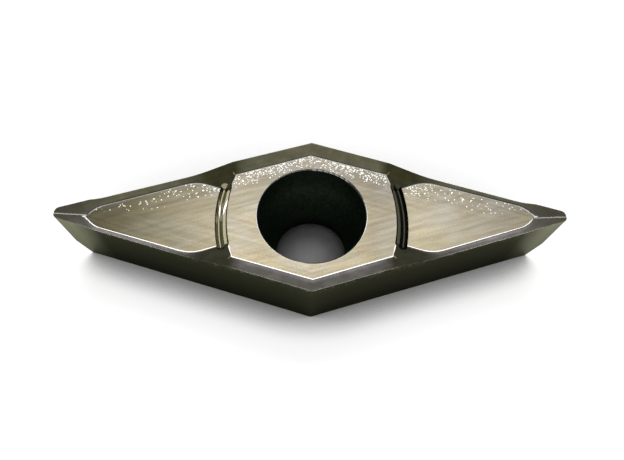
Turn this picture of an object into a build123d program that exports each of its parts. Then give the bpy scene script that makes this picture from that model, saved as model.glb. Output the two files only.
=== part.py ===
from build123d import *
from math import asin, cos, degrees, radians, sin, sqrt, tan
import os

# Carbide turning insert: 35 degree rhombic shape with ground relief flanks, a
# countersunk screw hole and a positive chip former sunk into the top.
# Origin: middle of the seating face, on the hole axis. +X to a cutting corner, +Z up.

# ---- Outline, measured in the plane of the cutting corners ----
inscribed_circle = 9.525      # circle that touches all four sides
corner_angle = 35.0           # included angle of the two cutting corners
nose_radius = 0.4             # rounding of the cutting corners
tip_height = 4.76             # seating face to cutting corner
relief_angle = 7.0            # the flanks lean in towards the seating face

# ---- Chip former on the top ----
rake_angle = 16.0             # fall of every land, inward from the cutting edge
side_corner_rise = 0.24       # blunt corners, above the cutting corners
centre_floor_drop = 0.22      # flat round the hole, below the blunt corners
wing_floor_drop = 0.24        # flat of each wing, below the cutting corners
wing_rim_rise = 0.095         # cutting edge along a wing, above the wing floor
run_out_inset = 2.62          # end of the wing floor, in from the sharp corner
run_out_angle = 47.0          # sides of that end, from the long axis
run_out_side_angle = 26.0     # steepness of that end
run_out_radius = 3.0          # rounding where the side lands turn into it
run_out_tip_radius = 0.3      # rounding of its point
nose_recess_start = 9.35      # hidden back end of the recess at the nose
shoulder_x = 6.85             # widest place of a wing floor, from the hole axis
shoulder_angle = 18.4         # the floor narrows again from there to the groove
shoulder_radius = 8.0         # easing of the lands at that widest place
floor_blend_radius = 0.4      # hollow blend from each floor up to its lands
press_twist = 0.5             # the pressed recesses sit turned on the ground flanks

# ---- Curved groove between the middle and each wing ----
groove_position = 5.4         # where the groove crosses the long axis
groove_curve_radius = 9.35    # radius that the groove follows
groove_depth = 0.17           # below the wing floor
groove_root_radius = 0.14     # round bottom of the groove
groove_half_length = 1.95     # along Y, to the centre of the rounded end
wing_floor_overlap = 1.5      # the wing's recess runs on under the groove
middle_edge_share = 0.85      # end of the middle, part way up the groove's inner wall

# ---- Screw hole ----
throat_diameter = 4.4         # clearance hole of the clamping screw
throat_length = 1.3           # straight part, up from the seating face
throat_chamfer = 0.15         # at the seating face
mouth_diameter = 6.3          # straight pocket for the screw head
mouth_depth = 0.95            # below the flat round the hole
mouth_edge_radius = 0.08      # rounding of the top edge

# ---- Spare height of the blank and of what is cut from it ----
blank_allowance = 0.5         # blank above its highest edge, before the pressing
cutter_overrun = 0.1          # recesses stand proud of the blank
through_overrun = 1.0         # what cuts right through runs on past both faces

# ---- Sizes that follow ----
half_angle = radians(corner_angle / 2)
relief = tan(radians(relief_angle))
rake = tan(radians(rake_angle))
side_corner_height = tip_height + side_corner_rise
blank_height = side_corner_height + blank_allowance
centre_floor = side_corner_height - centre_floor_drop
wing_floor = tip_height - wing_floor_drop
wing_rim = wing_floor + wing_rim_rise
groove_axis = groove_position - groove_curve_radius
groove_root = wing_floor - groove_depth - groove_root_radius * (sqrt(2) - 1)
groove_rise = centre_floor - groove_root
middle_radius = groove_curve_radius - groove_rise * middle_edge_share


def flank_distance(height):
    """Distance from the hole axis to a flank, at a height above the seating face."""
    return inscribed_circle / 2 - (tip_height - height) * relief


def sharp_corner(distance):
    """Where two sides at this distance from the hole axis meet on the long axis."""
    return distance / sin(half_angle)


def side_y(distance, x):
    """Half width, at x, between two sides at this distance from the hole axis."""
    return (distance - x * sin(half_angle)) / cos(half_angle)


def rhombus(distance):
    """Four-sided outline whose sides lie at this distance from the hole axis."""
    long_half = sharp_corner(distance)
    short_half = side_y(distance, 0)
    corners = [(long_half, 0), (0, short_half), (-long_half, 0), (0, -short_half)]
    return make_face(Polyline(*corners, close=True))


def both_ends(shape):
    """The shape and its copy half a turn round the hole axis."""
    return shape + Rot(0, 0, 180) * shape


def outside_flank(turn):
    """All that lies outside one flank: its inner face leans out at the relief angle."""
    reach = 4 * inscribed_circle
    block = Box(reach, reach, reach, align=(Align.MIN, Align.CENTER, Align.CENTER))
    return Rot(0, 0, turn) * Pos(flank_distance(0), 0, 0) * Rot(0, relief_angle, 0) * block


def ground_blank():
    """Body with plane relief flanks and rounded cutting corners, flat on top."""
    length = 4 * inscribed_circle
    width = 2 * inscribed_circle
    body = Box(length, width, blank_height, align=(Align.CENTER, Align.CENTER, Align.MIN))
    spread = 90 - corner_angle / 2
    for turn in (spread, 180 - spread, 180 + spread, -spread):
        body = body - outside_flank(turn)

    # The nose is a cone: it narrows downward until the two flanks meet in an edge.
    nose_centre = sharp_corner(inscribed_circle / 2 - nose_radius)
    cone_bottom = tip_height - nose_radius / relief
    cone_height = blank_height - cone_bottom
    reach = 2 * inscribed_circle
    across = reach * sin(radians(spread))
    along = reach * cos(radians(spread))
    beyond = make_face(Polyline((0, 0), (along, across), (along, -across), close=True))
    beyond = Pos(nose_centre, 0, 0) * extrude(beyond, amount=blank_height)
    corners = [(0, 0, 0), (cone_height * relief, 0, cone_height), (0, 0, cone_height)]
    profile = Rot(0, 0, -spread) * make_face(Polyline(*corners, close=True))
    nose = revolve(profile, Axis.Z, revolution_arc=2 * spread)
    nose = Pos(nose_centre, 0, cone_bottom) * nose
    return body - both_ends(beyond) + both_ends(nose)


def sunk(outline, floor, rise_angle):
    """Cutter with a flat floor and plane sides that rise outward at an angle."""
    rise = blank_height - floor + cutter_overrun
    return Pos(0, 0, floor) * extrude(outline, amount=rise, taper=rise_angle - 90)


def crease(cutter, x, y):
    """The edge of a cutter that climbs outward from a corner of its floor."""
    climbing = cutter.edges().filter_by(lambda edge: edge.bounding_box().size.Z > cutter_overrun)
    return climbing.sort_by_distance((x, y, cutter.bounding_box().min.Z))[0]


def blended(cutter):
    """The cutter with its floor rounded off into its sides."""
    return fillet(cutter.edges().group_by(Axis.Z)[0], floor_blend_radius)


def groove_disc(radius):
    """Round plate about the axis that the groove follows."""
    plate = Pos(groove_axis, 0, 0) * Circle(radius)
    return extrude(plate, amount=blank_height + through_overrun)


def centre_recess():
    """Flat round the hole: its sides follow the flanks, its ends the grooves."""
    distance = flank_distance(side_corner_height) - centre_floor_drop / rake
    end = Pos(groove_axis, 0, 0) * Circle(middle_radius)
    outline = rhombus(distance) & end & (Rot(0, 0, 180) * end)
    return blended(sunk(outline, centre_floor, rake_angle))


def wing_recess():
    """Three-sided flat of the wing at +X, narrow end at the cutting corner."""
    distance = flank_distance(wing_rim) - wing_rim_rise / rake
    shoulder_y = side_y(distance, shoulder_x)
    inner_x = groove_position - wing_floor_overlap
    inner_y = shoulder_y - (shoulder_x - inner_x) * tan(radians(shoulder_angle))
    half = [(inner_x, inner_y), (shoulder_x, shoulder_y)]
    tip = (sharp_corner(distance), 0)
    other_half = [(x, -y) for x, y in reversed(half)]
    outline = make_face(Polyline(*half, tip, *other_half, close=True))
    cutter = sunk(outline, wing_floor, rake_angle)
    shoulders = [crease(cutter, shoulder_x, y) for y in (-shoulder_y, shoulder_y)]
    cutter = fillet(shoulders, shoulder_radius)

    # Run-out: a blunt arrowhead with steeper sides ends the floor before the nose.
    end_x = sharp_corner(inscribed_circle / 2) - run_out_inset
    spread = tan(radians(run_out_angle))
    wide_y = inscribed_circle
    wide_x = end_x - wide_y / spread
    outline = [(0, wide_y), (wide_x, wide_y), (end_x, 0), (wide_x, -wide_y), (0, -wide_y)]
    arrowhead = sunk(make_face(Polyline(*outline, close=True)), wing_floor, run_out_side_angle)
    arrowhead = fillet(crease(arrowhead, end_x, 0), run_out_tip_radius)
    cutter = cutter & arrowhead
    narrow_x = (end_x * spread - side_y(distance, 0)) / (spread - tan(half_angle))
    narrow_y = side_y(distance, narrow_x)
    corners = [crease(cutter, narrow_x, y) for y in (-narrow_y, narrow_y)]
    cutter = fillet(corners, run_out_radius)
    return blended(cutter) - groove_disc(middle_radius)


def nose_recess():
    """Two plane lands at the cutting corner, which meet in a valley on the axis."""
    distance = inscribed_circle / 2 - wing_floor_drop / rake
    back_x = nose_recess_start
    back_y = side_y(distance, back_x)
    corners = [(back_x, -back_y), (sharp_corner(distance), 0), (back_x, back_y)]
    return sunk(make_face(Polyline(*corners, close=True)), wing_floor, rake_angle)


def groove():
    """Curved V groove with a round root and round ends, at +X."""
    top = blank_height + blank_allowance - groove_root
    section = make_face(Polyline((0, 0, 0), (top, 0, top), (-top, 0, top), close=True))
    section = fillet(section.vertices().sort_by(Axis.Z)[0], groove_root_radius)
    half_section = section & Pos(top, 0, 0) * Box(2 * top, 1, 4 * top)
    turn = degrees(asin(groove_half_length / groove_curve_radius))
    run = Rot(0, 0, -turn) * Pos(groove_curve_radius, 0, 0) * section
    run = revolve(run, Axis.Z, revolution_arc=2 * turn)
    end = revolve(half_section, Axis.Z)
    for side in (-turn, turn):
        run = run + Rot(0, 0, side) * Pos(groove_curve_radius, 0, 0) * end
    return Pos(groove_axis, 0, groove_root) * run


def screw_hole():
    """Straight throat, cone and straight pocket for the head of the screw."""
    throat = throat_diameter / 2
    mouth = mouth_diameter / 2
    lip = mouth + 2 * mouth_edge_radius
    corners = [
        (0, -through_overrun),
        (throat + throat_chamfer + through_overrun, -through_overrun),
        (throat, throat_chamfer),
        (throat, throat_length),
        (mouth, centre_floor - mouth_depth),
        (mouth, centre_floor),
        (lip, centre_floor),
        (lip, blank_height),
        (0, blank_height),
    ]
    profile = make_face(Polyline(*corners, close=True))
    edge = profile.vertices().sort_by_distance((mouth, centre_floor))[0]
    profile = fillet(edge, mouth_edge_radius)
    return revolve(Plane.XZ * profile, Axis.Z)


def insert_body():
    """The whole insert."""
    body = ground_blank()
    twist = Rot(0, 0, press_twist)
    pressed = centre_recess() + both_ends(wing_recess())
    body = body - twist * pressed
    body = body - both_ends(nose_recess())
    body = body - twist * both_ends(groove())
    return body - screw_hole()


body = insert_body()
body.label = "insert_body"
os.makedirs("parts", exist_ok=True)
export_step(body, "parts/insert_body.step")
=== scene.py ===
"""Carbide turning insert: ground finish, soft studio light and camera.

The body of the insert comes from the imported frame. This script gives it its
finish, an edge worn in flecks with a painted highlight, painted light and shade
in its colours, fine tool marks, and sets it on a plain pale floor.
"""
from math import cos, pi, radians, sin, tan

import bmesh
import bpy
from bpy.props import FloatProperty, FloatVectorProperty, PointerProperty
from bpy.types import Operator, Panel, PropertyGroup
from mathutils import Matrix, Vector


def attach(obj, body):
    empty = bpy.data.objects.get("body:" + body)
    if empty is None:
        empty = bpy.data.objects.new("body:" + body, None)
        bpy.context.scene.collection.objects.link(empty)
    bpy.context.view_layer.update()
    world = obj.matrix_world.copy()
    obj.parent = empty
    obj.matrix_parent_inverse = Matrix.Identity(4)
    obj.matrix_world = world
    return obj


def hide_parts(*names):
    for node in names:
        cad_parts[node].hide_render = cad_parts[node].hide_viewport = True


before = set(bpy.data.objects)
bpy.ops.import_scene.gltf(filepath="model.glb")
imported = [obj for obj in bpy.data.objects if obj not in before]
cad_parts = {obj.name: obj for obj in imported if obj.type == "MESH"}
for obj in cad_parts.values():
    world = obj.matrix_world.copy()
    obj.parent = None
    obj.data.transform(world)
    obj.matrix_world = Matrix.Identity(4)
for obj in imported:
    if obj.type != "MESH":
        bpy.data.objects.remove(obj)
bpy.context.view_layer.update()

bl_info = {
    "name": "Carbide Turning Insert",
    "version": (1, 0, 0),
    "blender": (4, 5, 0),
    "location": "View3D > Sidebar > Insert",
    "description": "Finish and studio for a 35 degree carbide turning insert",
    "category": "Add Mesh",
}

MM = 0.001
HALF_CORNER = radians(17.5)
FLAT = cos(radians(0.1))        # faces of one plane agree this well
SMOOTH = cos(radians(28))       # surfaces that meet flatter than this run together
TINY = 1e-12                    # area of a sliver that has no sure direction
MERGE_DISTANCE = 0.0005 * MM    # packed corners nearer than this are one point

# Where the surfaces lie, in millimetres, and how far up their normals point
GROOVE_FROM, GROOVE_TO = 4.4, 5.7
GROOVE_REACH = 2.3
HOLE_CENTRED = 0.5
MOUTH_HEIGHT = 4.5
FLANK_TOP = 4.0
LEVEL, GENTLE, UPRIGHT = 0.9995, 0.966, 0.2

# The left groove curves about this place on the long axis, at this distance
GROOVE_AXIS, GROOVE_MIDDLE = 3.95 * MM, 9.22 * MM

# Noise: repeats per metre, and detail
PATTERNS = {
    "streaks": (3600.0, 3.0),
    "flat_grain": (7500.0, 3.0),
    "cloud": (420.0, 2.0),
    "edge_lines": (9000.0, 3.0),
    "land_mottle": (1600.0, 3.0),
    "blend_mottle": (2200.0, 3.0),
    "groove_mottle": (2600.0, 3.0),
    "polish_grain": (12000.0, 2.0),
    "flank_grain": (13000.0, 2.0),
    "bore_grain": (5000.0, 4.0),
    "bore_fine": (16000.0, 2.0),
    "wear_highlight_flecks": (3800.0, 4.0),
}
SPARKLE_REPEATS = 16500.0

# Painted light and shade on the flats along X: from and to in millimetres, with the tone at each
FLAT_PAINTED_TONES = (
    (-4.0, -12.0, 0.94, 0.31),
    (1.5, 3.5, 1.0, 0.76),
    (4.6, 6.0, 1.0, 1.26),
    (6.0, 12.0, 1.0, 0.68),
)

# Colours and filters
BROWNED = (0.230, 0.205, 0.120)
# Painted highlight colour for the glints, the nose valleys and the left groove mark
PAINTED_HIGHLIGHT = (0.60, 0.59, 0.57)
# Pale flecks along the edge: wear, and a painted highlight of the edge
EDGE_WEAR_HIGHLIGHT = (0.36, 0.37, 0.30)
PLAIN = (1.0, 1.0, 1.0)
WARMER, COOLER = (1.02, 0.98, 0.86), (0.96, 1.0, 1.13)
LAND_BACK, LAND_FRONT = (1.0, 1.0, 0.92), (1.0, 0.99, 1.28)
# Painted highlight at the foot of the front lands
LAND_FOOT_HIGHLIGHT = (1.8, 1.7, 2.05)
FLANK_SHEEN = (0.45, 0.45, 0.42, 1)
BORE_SHEEN = (0.35, 0.40, 0.33, 1)

# Floor and camera
FLOOR_SIZE = 1.2
FLOOR_GAP = 0.00001             # keeps the floor off the seating face
NEAR_SHELTER, WIDE_SHELTER = 3.0 * MM, 4.5 * MM
CAMERA_PLACE = (-0.0006877, -0.020114, 0.0372852)
CAMERA_TURN, CAMERA_ELEVATION, CAMERA_ROLL = -2.0815, 59.6057, 2.1978


# ---------------------------------------------------------------- settings
def colour_setting(name, description, colour):
    """A colour that the panel shows as a swatch."""
    return FloatVectorProperty(
        name=name, description=description, subtype="COLOR", size=3, min=0, max=1, default=colour
    )


def length_setting(name, description, length):
    """A length in metres."""
    return FloatProperty(
        name=name, description=description, subtype="DISTANCE", unit="LENGTH", min=0, default=length
    )


def angle_setting(name, description, angle):
    """An angle, given in degrees."""
    return FloatProperty(
        name=name, description=description, subtype="ANGLE", unit="ROTATION", default=radians(angle)
    )


def level_setting(name, description, level):
    """A plain factor, never below nothing."""
    return FloatProperty(name=name, description=description, subtype="FACTOR", min=0, default=level)


class InsertFinishSettings(PropertyGroup):
    """Colours and surface finish of the insert."""

    flat_colour: colour_setting("Flats", "Pressed flats of the top", (0.268, 0.240, 0.182))
    land_colour: colour_setting("Lands", "Sloping lands along the edges", (0.330, 0.315, 0.215))
    blend_colour: colour_setting("Blends", "Hollow blends round the flats", (0.430, 0.420, 0.400))
    scoop_colour: colour_setting("Scoops", "Lands beside the grooves", (0.110, 0.108, 0.055))
    # The right groove's dark walls are painted shade; the left groove is a painted lighter copy
    groove_colour: colour_setting("Grooves", "Walls of the grooves", (0.022, 0.022, 0.016))
    lit_left_groove_colour: colour_setting("Lit left groove", "Left groove", (0.160, 0.150, 0.095))
    # The dark flanks and screw hole are partly their finish and partly painted shade
    flank_colour: colour_setting("Flanks", "Ground relief flanks", (0.030, 0.031, 0.021))
    bore_colour: colour_setting("Screw hole", "Wall of the screw hole", (0.042, 0.062, 0.040))
    flat_roughness: level_setting("Flat roughness", "Roughness of the flats", 0.30)
    land_roughness: level_setting("Land roughness", "Roughness of the lands", 0.20)
    blend_roughness: level_setting("Blend roughness", "Roughness of the hollow blends", 0.14)
    edge_radius: length_setting("Edge radius", "Rounding that catches the light", 0.035 * MM)
    mark_spacing: length_setting("Mark spacing", "Distance between fine tool marks", 0.22 * MM)


class InsertStageSettings(PropertyGroup):
    """Floor, light and camera."""

    floor_colour: colour_setting("Floor", "Plain pale floor", (0.92, 0.92, 0.92))
    floor_glow: level_setting("Floor glow", "Whiteness added where the floor is open", 0.45)
    key_level: level_setting("Key level", "Radiance of the soft light behind the insert", 3.6)
    key_width: angle_setting("Key width", "Seen width of the soft light behind", 46)
    key_height: angle_setting("Key height", "Seen height of the soft light behind", 16)
    key_elevation: angle_setting("Key elevation", "Height angle of the soft light behind", 58)
    key_azimuth: angle_setting("Key azimuth", "Turn of that light to the right", 4)
    fill_level: level_setting("Fill level", "Radiance of the two soft lights in front", 1.8)
    fill_width: angle_setting("Fill width", "Seen width of each light in front", 60)
    fill_height: angle_setting("Fill height", "Seen height of each light in front", 30)
    fill_elevation: angle_setting("Fill elevation", "Height angle of the lights in front", 32)
    fill_spread: angle_setting("Fill spread", "Turn of each from straight in front", 35)
    room_level: level_setting("Room level", "Brightness of the room round the insert", 0.30)
    light_distance: length_setting("Light distance", "From the insert to each soft light", 0.30)
    camera_lens: FloatProperty(
        name="Lens", description="Focal length in millimetres", min=1, default=38.05
    )


# ---------------------------------------------------------------- helpers
class NodeBuilder:
    """Adds and links shader nodes with few words."""

    def __init__(self, tree):
        self.tree = tree
        self.column = 0

    def add(self, kind, **values):
        """A new node; values set its properties."""
        node = self.tree.nodes.new(kind)
        self.column += 200
        node.location = (self.column, 0)
        for name, value in values.items():
            setattr(node, name, value)
        return node

    def plug(self, node, **sockets):
        """Sets or links the named input sockets of a node."""
        for name, value in sockets.items():
            socket = node.inputs[name.replace("_", " ")]
            if hasattr(value, "links"):
                self.tree.links.new(value, socket)
            else:
                socket.default_value = value
        return node

    def math(self, operation, first, second=0.0):
        """Output of a Math node."""
        node = self.add("ShaderNodeMath", operation=operation)
        for index, value in enumerate((first, second)):
            if hasattr(value, "links"):
                self.tree.links.new(value, node.inputs[index])
            else:
                node.inputs[index].default_value = value
        return node.outputs[0]

    def times(self, *factors):
        """Product of several factors."""
        total = factors[0]
        for factor in factors[1:]:
            total = self.math("MULTIPLY", total, factor)
        return total

    def combine(self, x, y, z):
        """Output of a Combine XYZ node."""
        node = self.add("ShaderNodeCombineXYZ")
        for index, value in enumerate((x, y, z)):
            if hasattr(value, "links"):
                self.tree.links.new(value, node.inputs[index])
            else:
                node.inputs[index].default_value = value
        return node.outputs[0]

    def noise(self, vector, scale, detail=2.0):
        """Factor output of a Noise node."""
        node = self.add("ShaderNodeTexNoise")
        self.plug(node, Vector=vector, Scale=scale, Detail=detail)
        return node.outputs["Fac"]

    def pattern(self, name, vector):
        """One of the named noise patterns."""
        return self.noise(vector, *PATTERNS[name])

    def ramp(self, factor, low, high, low_value, high_value):
        """Maps a factor range onto a value range."""
        node = self.add("ShaderNodeMapRange")
        self.plug(
            node, Value=factor, From_Min=low, From_Max=high, To_Min=low_value, To_Max=high_value
        )
        return node.outputs["Result"]

    def fade(self, place, start, end, first=0.0, last=1.0):
        """Runs from first to last between two places, given in millimetres."""
        return self.ramp(place, start * MM, end * MM, first, last)

    def varied(self, noise, swing, amount):
        """A tone near 1 that follows a noise over a swing round its middle."""
        return self.ramp(noise, 0.5 - swing, 0.5 + swing, 1 - amount, 1 + amount)

    def tint(self, colour, factor):
        """A fixed colour made lighter or darker by a factor."""
        node = self.add("ShaderNodeVectorMath", operation="SCALE")
        node.inputs[0].default_value = colour
        self.tree.links.new(factor, node.inputs["Scale"])
        return node.outputs[0]

    def scaled(self, colour, factor):
        """A colour from another node made lighter or darker by a factor."""
        node = self.add("ShaderNodeVectorMath", operation="SCALE")
        self.tree.links.new(colour, node.inputs[0])
        self.tree.links.new(factor, node.inputs["Scale"])
        return node.outputs[0]

    def mixed(self, factor, first, second):
        """Runs from a colour of another node to a fixed one."""
        node = self.add("ShaderNodeMix", data_type="RGBA")
        self.tree.links.new(factor, node.inputs[0])
        self.tree.links.new(first, node.inputs[6])
        node.inputs[7].default_value = (*second, 1)
        return node.outputs[2]

    def product(self, first, second):
        """One colour filtered by another."""
        node = self.add("ShaderNodeVectorMath", operation="MULTIPLY")
        self.tree.links.new(first, node.inputs[0])
        self.tree.links.new(second, node.inputs[1])
        return node.outputs[0]

    def blend(self, factor, first, second):
        """Runs from one fixed colour to another."""
        node = self.add("ShaderNodeMix", data_type="RGBA")
        self.tree.links.new(factor, node.inputs[0])
        node.inputs[6].default_value = (*first, 1)
        node.inputs[7].default_value = (*second, 1)
        return node.outputs[2]


def new_material(name):
    """An empty node material with a metal shader, and its builder."""
    material = bpy.data.materials.new(name)
    material.use_nodes = True
    shader = material.node_tree.nodes["Principled BSDF"]
    shader.inputs["Metallic"].default_value = 1.0
    return material, shader, NodeBuilder(material.node_tree)


def deselect_all():
    """Leaves edit mode with nothing selected."""
    if bpy.context.object and bpy.context.object.mode != "OBJECT":
        bpy.ops.object.mode_set(mode="OBJECT")
    bpy.ops.object.select_all(action="DESELECT")


def make_active(obj):
    """Selects only this object."""
    deselect_all()
    obj.select_set(True)
    bpy.context.view_layer.objects.active = obj


# ---------------------------------------------------------------- surfaces
def number_surfaces(mesh):
    """Numbers each surface of the body, while the triangles of two surfaces are apart."""
    work = bmesh.new()
    work.from_mesh(mesh)
    surface = work.faces.layers.int.new("surface")
    count = 0
    for seed in work.faces:
        if seed[surface]:
            continue
        count += 1
        seed[surface] = count
        waiting = [seed]
        while waiting:
            for vertex in waiting.pop().verts:
                for face in vertex.link_faces:
                    if not face[surface]:
                        face[surface] = count
                        waiting.append(face)
    work.to_mesh(mesh)
    work.free()


def flat_surfaces(work, surface):
    """Normal of each surface that is a plane, by its number."""
    groups = {}
    for face in work.faces:
        groups.setdefault(face[surface], []).append(face)
    flats = {}
    for number, faces in groups.items():
        normal = sum((face.normal * face.calc_area() for face in faces), Vector()).normalized()
        if all(face.normal.dot(normal) > FLAT for face in faces if face.calc_area() > TINY):
            flats[number] = normal
    return flats


def corner_normal(loop, surface, flats):
    """Normal at one corner of a face: blends run smoothly into the planes beside them."""
    own = loop.face[surface]
    if own in flats:
        return flats[own]
    around = loop.vert.link_faces
    same = [face for face in around if face[surface] == own]
    normal = sum((face.normal * face.calc_area() for face in same), Vector()).normalized()
    beside = {face[surface] for face in around if face[surface] in flats}
    planes = [flats[number] for number in beside if flats[number].dot(normal) > SMOOTH]
    if planes:
        return sum(planes, Vector()).normalized()
    near = [face for face in around if face.normal.dot(normal) > SMOOTH]
    total = sum((face.normal * face.calc_area() for face in near), Vector())
    return total.normalized() if total.length else normal


def set_normals(mesh):
    """Gives every face corner its own true normal."""
    work = bmesh.new()
    work.from_mesh(mesh)
    work.normal_update()
    surface = work.faces.layers.int["surface"]
    flats = flat_surfaces(work, surface)
    normals = [corner_normal(loop, surface, flats) for face in work.faces for loop in face.loops]
    work.free()
    mesh.shade_smooth()
    mesh.normals_split_custom_set(normals)


def surface_faces(mesh):
    """Faces of each numbered surface."""
    numbers = mesh.attributes["surface"].data
    groups = {}
    for face in mesh.polygons:
        groups.setdefault(numbers[face.index].value, []).append(face)
    return groups


def finish_of(centre, normal, plane):
    """Which finish a surface gets, from its centre in millimetres and its mean normal."""
    x, y, z = centre
    if GROOVE_FROM < abs(x) < GROOVE_TO and abs(y) < GROOVE_REACH:
        return "pressed_scoop"
    if plane and abs(normal.z) > LEVEL:
        return "pressed_flat" if normal.z > 0 else "ground_flank"
    if abs(x) + abs(y) < HOLE_CENTRED:
        return "pressed_blend" if z > MOUTH_HEIGHT else "sintered_bore"
    if normal.z < UPRIGHT and z < FLANK_TOP:
        return "ground_flank"
    return "pressed_land" if plane or normal.z < GENTLE else "pressed_blend"


# ---------------------------------------------------------------- materials
def place_on(build):
    """Place on the insert, and its X, Y and Z."""
    place = build.add("ShaderNodeTexCoord").outputs["Object"]
    split = build.add("ShaderNodeSeparateXYZ")
    build.plug(split, Vector=place)
    return place, *split.outputs


def edge_frame(build, x, y):
    """Distances across and along the nearest edge, alike in all four quarters."""
    across = build.math("ABSOLUTE", y)
    along = build.math("ABSOLUTE", x)
    side = build.math(
        "ADD", build.times(across, cos(HALF_CORNER)), build.times(along, sin(HALF_CORNER))
    )
    run = build.math(
        "SUBTRACT", build.times(along, cos(HALF_CORNER)), build.times(across, sin(HALF_CORNER))
    )
    return side, run


def edge_wear_highlight(build, place, side):
    """How far the edge of the body is worn bright, in flecks that are also a painted highlight
    along the edge.
    """
    flecks = build.ramp(build.pattern("wear_highlight_flecks", place), 0.52, 0.66, 0.0, 0.38)
    return build.times(flecks, build.fade(side, 4.68, 4.78))


def finish_normal(build, shader, height, strength, depth, radius):
    """Rounded edges with a fine relief on top."""
    rounded = build.add("ShaderNodeBevel", samples=6)
    build.plug(rounded, Radius=radius)
    bump = build.add("ShaderNodeBump")
    build.plug(bump, Strength=strength, Distance=depth, Height=height, Normal=rounded.outputs[0])
    build.plug(shader, Normal=bump.outputs[0])


def painted_rear_glints(build, place, x, y, side):
    """Coarser grains near the back edges of the flats, painted pale as glints."""
    cells = build.add("ShaderNodeTexVoronoi")
    build.plug(cells, Vector=place, Scale=SPARKLE_REPEATS)
    glint = build.add("ShaderNodeSeparateColor")
    build.plug(glint, Color=cells.outputs["Color"])
    behind = build.fade(y, 0.0, 0.3)
    rear = build.fade(build.times(side, behind), 3.0, 3.9, 0.0, 0.27)
    near_middle = build.fade(build.math("ABSOLUTE", x), 4.0, 7.5, 1.0, 0.15)
    return build.math("LESS_THAN", glint.outputs[0], build.times(rear, near_middle))


def pressed_flat(settings):
    """Satin warm grey flats: fine grain, faint marks, browner to the left end, painted light and
    shade along X and Y, and painted glints near the back edges.
    """
    material, shader, build = new_material("pressed_flat")
    place, x, y, _ = place_on(build)
    side, run = edge_frame(build, x, y)
    stretched = build.combine(side, build.times(run, 0.05), 0.0)
    marks = build.noise(stretched, 1.0 / settings.mark_spacing, 2.0)
    slant = build.combine(
        build.math("ADD", build.times(x, 0.12), build.times(y, 0.05)),
        build.math("SUBTRACT", y, build.times(x, 0.3)),
        0.0,
    )
    streaks = build.pattern("streaks", slant)
    grain = build.pattern("flat_grain", place)
    cloud = build.pattern("cloud", place)
    tone = build.times(
        build.varied(marks, 0.12, 0.09),
        build.varied(grain, 0.15, 0.16),
        build.varied(streaks, 0.12, 0.09),
        build.varied(cloud, 0.20, 0.07),
        # Painted light and shade: tones along X from the rows, lighter to the front, darker to the
        # back
        *(build.fade(x, *row) for row in FLAT_PAINTED_TONES),
        build.fade(y, -3.0, 3.0, 1.22, 0.78),
    )

    browned = build.fade(x, -4.5, -13.5)
    warm = build.blend(browned, settings.flat_colour, BROWNED)
    cooling = build.math(
        "ADD", build.ramp(cloud, 0.42, 0.62, 0.0, 0.5), build.fade(y, -3.0, 3.0, 0.0, 0.5)
    )
    colour = build.product(warm, build.blend(cooling, WARMER, COOLER))
    colour = build.scaled(colour, tone)
    # Painted glints near the back edges of the flats
    sparkle = painted_rear_glints(build, place, x, y, side)
    build.plug(shader, Base_Color=build.mixed(sparkle, colour, PAINTED_HIGHLIGHT))
    rough = settings.flat_roughness
    build.plug(shader, Roughness=build.ramp(grain, 0.25, 0.75, rough - 0.05, rough + 0.06))
    height = build.math("ADD", build.times(marks, 0.5), build.times(grain, 0.5))
    finish_normal(build, shader, height, 0.35, 0.006 * MM, settings.edge_radius)
    return material


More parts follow.
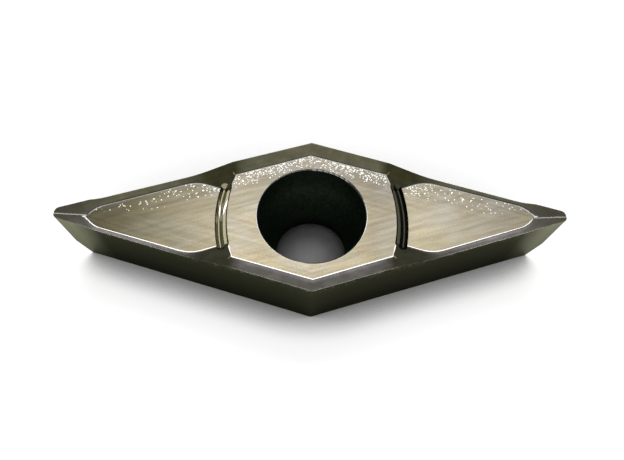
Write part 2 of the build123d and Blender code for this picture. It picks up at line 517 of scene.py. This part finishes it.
def pressed_land(settings):
    """Smoother lands with fine lines along the edge, darker beside the grooves, with painted light
    and shade along the wings and at the noses, and painted highlights at the front foot and the
    nose valleys.
    """
    material, shader, build = new_material("pressed_land")
    place, x, y, z = place_on(build)
    side, run = edge_frame(build, x, y)
    along = build.math("ABSOLUTE", x)
    lines = build.pattern("edge_lines", build.combine(side, build.times(run, 0.015), 0.0))
    mottle = build.pattern("land_mottle", place)

    beside_groove = build.times(
        build.fade(along, 3.9, 4.6), build.fade(along, 6.2, 8.2, 1.0, 0.0)
    )
    colour = build.blend(beside_groove, settings.land_colour, settings.scoop_colour)
    front = build.fade(y, -1.0, 1.0, 1.0, 0.0)
    colour = build.product(colour, build.blend(front, LAND_BACK, LAND_FRONT))
    # Painted highlight: the front lands brighten at their foot, widening the bright line of the
    # blend
    wing_foot = build.times(build.fade(along, 6.0, 7.0), build.fade(z, 4.53, 4.59, 1.0, 0.0))
    middle_foot = build.times(
        build.fade(along, 3.6, 4.2, 1.0, 0.0), build.fade(z, 4.79, 4.87, 1.0, 0.0)
    )
    front_foot_highlight = build.times(build.math("MAXIMUM", wing_foot, middle_foot), front)
    colour = build.product(colour, build.blend(front_foot_highlight, PLAIN, LAND_FOOT_HIGHLIGHT))

    # Painted shade at the noses and painted light on the front lands along the wings
    nose_painted_shade = build.fade(along, 12.0, 13.6, 1.0, 0.55)
    wing_painted_light = build.fade(along, 7.5, 10.0, 1.0, 1.55)
    front_painted_tone = build.math("POWER", build.times(nose_painted_shade, wing_painted_light), front)
    back_painted_tone = build.math("POWER", nose_painted_shade, build.math("SUBTRACT", 1.0, front))
    tone = build.times(
        build.times(build.varied(lines, 0.2, 0.10), build.varied(mottle, 0.2, 0.10)),
        build.times(front_painted_tone, back_painted_tone),
    )
    colour = build.scaled(colour, tone)
    colour = build.mixed(edge_wear_highlight(build, place, side), colour, EDGE_WEAR_HIGHLIGHT)

    # A thin painted highlight along the sharp valley between the two lands of a nose.
    valley = build.times(
        build.math("LESS_THAN", build.math("ABSOLUTE", y), 0.045 * MM),
        build.math("GREATER_THAN", along, 13.0 * MM),
    )
    build.plug(shader, Base_Color=build.mixed(valley, colour, PAINTED_HIGHLIGHT))
    rough = settings.land_roughness
    build.plug(shader, Roughness=build.ramp(mottle, 0.3, 0.7, rough - 0.03, rough + 0.05))
    finish_normal(build, shader, lines, 0.22, 0.004 * MM, settings.edge_radius)
    return material


def pressed_blend(settings):
    """Bright, smooth hollow blends between the flats and the lands."""
    material, shader, build = new_material("pressed_blend")
    place, _, y, _ = place_on(build)
    mottle = build.pattern("blend_mottle", place)
    grain = build.pattern("polish_grain", place)
    tone = build.times(
        build.varied(mottle, 0.2, 0.08),
        build.varied(grain, 0.25, 0.08),
        # Painted shade: the blends darken towards the back
        build.fade(y, -1.0, 1.0, 1.0, 0.35),
    )
    build.plug(shader, Base_Color=build.tint(settings.blend_colour, tone))
    rough = settings.blend_roughness
    build.plug(shader, Roughness=build.ramp(mottle, 0.3, 0.7, rough - 0.03, rough + 0.05))
    finish_normal(build, shader, grain, 0.15, 0.004 * MM, settings.edge_radius)
    return material


def forked_highlight(build, x, y):
    """A painted highlight in the left groove: two lines that part towards the back."""
    from_axis = build.math("SUBTRACT", x, GROOVE_AXIS)
    squares = build.math("ADD", build.times(from_axis, from_axis), build.times(y, y))
    reach = build.math("SQRT", squares)
    across = build.math("ABSOLUTE", build.math("SUBTRACT", reach, GROOVE_MIDDLE))
    parted = build.times(build.math("ADD", y, 0.25 * MM), 0.20)
    off_line = build.math("ABSOLUTE", build.math("SUBTRACT", across, parted))
    return build.times(
        build.fade(off_line, 0.03, 0.07, 1.0, 0.0),
        build.math("LESS_THAN", x, 0.0),
        build.fade(y, -0.4, -0.1),
        build.fade(y, 0.8, 1.4, 1.0, 0.0),
    )


def pressed_scoop(settings):
    """Duller walls of the grooves: painted shade on the right, painted light and a painted forked
    highlight on the left.
    """
    material, shader, build = new_material("pressed_scoop")
    place, x, y, _ = place_on(build)
    mottle = build.pattern("groove_mottle", place)
    grain = build.pattern("polish_grain", place)
    tone = build.times(build.varied(mottle, 0.2, 0.12), build.varied(grain, 0.25, 0.10))
    # Painted shade and light: the right groove takes the dark colour, the left one a lighter copy
    left = build.math("LESS_THAN", x, 0.0)
    colour = build.blend(left, settings.groove_colour, settings.lit_left_groove_colour)
    colour = build.scaled(colour, tone)
    build.plug(shader, Base_Color=build.mixed(forked_highlight(build, x, y), colour, PAINTED_HIGHLIGHT))
    rough = settings.land_roughness
    build.plug(shader, Roughness=build.ramp(mottle, 0.3, 0.7, rough - 0.02, rough + 0.07))
    finish_normal(build, shader, grain, 0.25, 0.004 * MM, settings.edge_radius)
    return material


def ground_flank(settings):
    """Dark ground faces with faint grinding lines along the edge, their darkness partly painted
    shade, lighter towards the top, with painted light at the tips.
    """
    material, shader, build = new_material("ground_flank")
    place, x, y, z = place_on(build)
    side, run = edge_frame(build, x, y)
    along = build.math("ABSOLUTE", x)
    lines = build.pattern("edge_lines", build.combine(build.times(run, 0.04), 0.0, z))
    grain = build.pattern("flank_grain", place)
    tone = build.times(
        build.varied(lines, 0.2, 0.12),
        build.varied(grain, 0.25, 0.15),
        build.fade(z, 0.0, 4.7, 0.75, 1.35),
        # Painted reflection: the tips turn paler, as if they mirror a lit floor
        build.fade(along, 12.2, 13.8, 1.0, 6.0),
    )
    colour = build.tint(settings.flank_colour, tone)
    build.plug(shader, Base_Color=build.mixed(edge_wear_highlight(build, place, side), colour, EDGE_WEAR_HIGHLIGHT))
    shader.inputs["Specular Tint"].default_value = FLANK_SHEEN
    build.plug(shader, Roughness=build.ramp(grain, 0.25, 0.75, 0.30, 0.38))
    finish_normal(build, shader, lines, 0.2, 0.004 * MM, settings.edge_radius)
    return material


def sintered_bore(settings):
    """Dull, dark wall of the hole, left as sintered, its darkness partly painted shade."""
    material, shader, build = new_material("sintered_bore")
    place = build.add("ShaderNodeTexCoord").outputs["Object"]
    grain = build.pattern("bore_grain", place)
    fine = build.pattern("bore_fine", place)
    tone = build.times(build.varied(grain, 0.2, 0.20), build.varied(fine, 0.25, 0.12))
    build.plug(shader, Base_Color=build.tint(settings.bore_colour, tone))
    shader.inputs["Specular Tint"].default_value = BORE_SHEEN
    build.plug(shader, Roughness=build.ramp(grain, 0.3, 0.7, 0.42, 0.52))
    finish_normal(build, shader, grain, 0.3, 0.01 * MM, 0.02 * MM)
    return material


def openness(build, distance):
    """How open the floor is within a distance: 0 is shut in, 1 is free."""
    node = build.add("ShaderNodeAmbientOcclusion", samples=12)
    build.plug(node, Distance=distance)
    return node.outputs["AO"]


def pale_floor(settings):
    """Plain pale floor that keeps the shadow: its glow fades and its colour darkens as painted
    shade where it is shut in.
    """
    material = bpy.data.materials.new("pale_floor")
    material.use_nodes = True
    shader = material.node_tree.nodes["Principled BSDF"]
    shader.inputs["Roughness"].default_value = 1.0
    shader.inputs["Specular IOR Level"].default_value = 0.0
    shader.inputs["Emission Color"].default_value = (1, 1, 1, 1)
    build = NodeBuilder(material.node_tree)
    path = build.add("ShaderNodeLightPath").outputs
    seen = build.math("ADD", path["Is Camera Ray"], path["Is Glossy Ray"])
    seen = build.math("ADD", seen, path["Is Transmission Ray"])
    near = openness(build, NEAR_SHELTER)
    wide = openness(build, WIDE_SHELTER)
    # Painted shade: the floor's colour darkens where the body shuts it in, most inside the hole
    shade = build.ramp(wide, 0.28, 0.68, 0.02, 1.0)
    build.plug(shader, Base_Color=build.tint(settings.floor_colour, shade))
    clear = build.ramp(near, 0.55, 0.85, 0.0, 1.0)
    outside_hole = build.ramp(wide, 0.40, 0.55, 0.0, 1.0)
    glow = build.times(seen, build.times(clear, outside_hole), settings.floor_glow)
    build.plug(shader, Emission_Strength=glow)
    return material


# ---------------------------------------------------------------- operators
class INSERT_OT_body(Operator):
    """Dress the insert: merged skin of the body with true normals and its finishes."""

    bl_idname = "insert.body"
    bl_label = "Insert Body"

    def execute(self, context):
        settings = context.scene.insert_finish
        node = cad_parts["insert_body"]
        deselect_all()
        mesh = node.data.copy()
        number_surfaces(mesh)
        body = bpy.data.objects.new("insert_skin", mesh)
        context.scene.collection.objects.link(body)
        make_active(body)
        bpy.ops.object.mode_set(mode="EDIT")
        bpy.ops.mesh.select_all(action="SELECT")
        bpy.ops.mesh.remove_doubles(threshold=MERGE_DISTANCE)
        bpy.ops.object.mode_set(mode="OBJECT")
        set_normals(mesh)

        finishes = (
            pressed_flat,
            pressed_land,
            pressed_blend,
            pressed_scoop,
            ground_flank,
            sintered_bore,
        )
        mesh.materials.clear()
        for finish in finishes:
            mesh.materials.append(finish(settings))
        names = [finish.__name__ for finish in finishes]
        for faces in surface_faces(mesh).values():
            area = sum(face.area for face in faces)
            normal = sum((face.normal * face.area for face in faces), Vector()).normalized()
            centre = sum((face.center * face.area for face in faces), Vector()) / area / MM
            plane = all(face.normal.dot(normal) > FLAT for face in faces if face.area > TINY)
            chosen = names.index(finish_of(centre, normal, plane))
            for face in faces:
                face.material_index = chosen
        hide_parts("insert_body")
        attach(body, "root")
        return {"FINISHED"}


def soft_light(name, level, size, direction, distance):
    """Soft light with a radiance, seen width and height, elevation and azimuth."""
    width, height = size
    elevation, azimuth = direction
    lamp = bpy.data.lights.new(name, "AREA")
    lamp.shape = "RECTANGLE"
    lamp.size = 2 * distance * tan(width / 2)
    lamp.size_y = 2 * distance * tan(height / 2)
    lamp.energy = level * pi * lamp.size * lamp.size_y
    light = bpy.data.objects.new(name, lamp)
    bpy.context.scene.collection.objects.link(light)
    towards = Vector(
        (sin(azimuth) * cos(elevation), cos(azimuth) * cos(elevation), sin(elevation))
    )
    light.location = towards * distance
    light.rotation_euler = towards.to_track_quat("Z", "Y").to_euler()


class INSERT_OT_stage(Operator):
    """Set the floor, the lights and the camera."""

    bl_idname = "insert.stage"
    bl_label = "Insert Stage"

    def execute(self, context):
        settings = context.scene.insert_stage
        deselect_all()
        bpy.ops.mesh.primitive_plane_add(size=FLOOR_SIZE, location=(0, 0, -FLOOR_GAP))
        floor = context.object
        floor.name = "floor"
        floor.data.materials.append(pale_floor(settings))

        distance = settings.light_distance
        key_size = (settings.key_width, settings.key_height)
        key_direction = (settings.key_elevation, settings.key_azimuth)
        soft_light("key", settings.key_level, key_size, key_direction, distance)
        fill_size = (settings.fill_width, settings.fill_height)
        for name, spread in (
            ("fill_left", settings.fill_spread),
            ("fill_right", -settings.fill_spread),
        ):
            direction = (settings.fill_elevation, pi + spread)
            soft_light(name, settings.fill_level, fill_size, direction, distance)

        world = bpy.data.worlds.new("room")
        world.use_nodes = True
        room = world.node_tree.nodes["Background"]
        level = settings.room_level
        room.inputs["Color"].default_value = (level, level, level, 1)
        room.inputs["Strength"].default_value = 1.0
        context.scene.world = world

        lens = bpy.data.cameras.new("camera")
        lens.lens = settings.camera_lens
        lens.sensor_width = 36.0
        lens.clip_start = 0.001
        camera = bpy.data.objects.new("camera", lens)
        context.scene.collection.objects.link(camera)
        camera.matrix_world = (
            Matrix.Translation(CAMERA_PLACE)
            @ Matrix.Rotation(radians(CAMERA_TURN), 4, "Z")
            @ Matrix.Rotation(radians(90 - CAMERA_ELEVATION), 4, "X")
            @ Matrix.Rotation(radians(CAMERA_ROLL), 4, "Z")
        )
        context.scene.camera = camera
        context.scene.view_settings.view_transform = "Standard"
        return {"FINISHED"}


class INSERT_PT_panel(Panel):
    """Sidebar panel that lists the pieces."""

    bl_idname = "INSERT_PT_panel"
    bl_label = "Carbide Insert"
    bl_space_type = "VIEW_3D"
    bl_region_type = "UI"
    bl_category = "Insert"

    def draw(self, context):
        layout = self.layout
        finish = context.scene.insert_finish
        stage = context.scene.insert_stage
        for name in finish.bl_rna.properties.keys():
            if name not in {"rna_type", "name"}:
                layout.prop(finish, name)
        layout.operator(INSERT_OT_body.bl_idname)
        for name in stage.bl_rna.properties.keys():
            if name not in {"rna_type", "name"}:
                layout.prop(stage, name)
        layout.operator(INSERT_OT_stage.bl_idname)


CLASSES = (
    InsertFinishSettings,
    InsertStageSettings,
    INSERT_OT_body,
    INSERT_OT_stage,
    INSERT_PT_panel,
)


def register():
    """Registers the settings, operators and panel."""
    for cls in CLASSES:
        bpy.utils.register_class(cls)
    bpy.types.Scene.insert_finish = PointerProperty(type=InsertFinishSettings)
    bpy.types.Scene.insert_stage = PointerProperty(type=InsertStageSettings)


def unregister():
    """Removes what register added."""
    del bpy.types.Scene.insert_stage
    del bpy.types.Scene.insert_finish
    for cls in reversed(CLASSES):
        bpy.utils.unregister_class(cls)


def main():
    """Builds the insert and its stage."""
    register()
    bpy.ops.insert.body()
    bpy.ops.insert.stage()


if __name__ == "__main__":
    main()
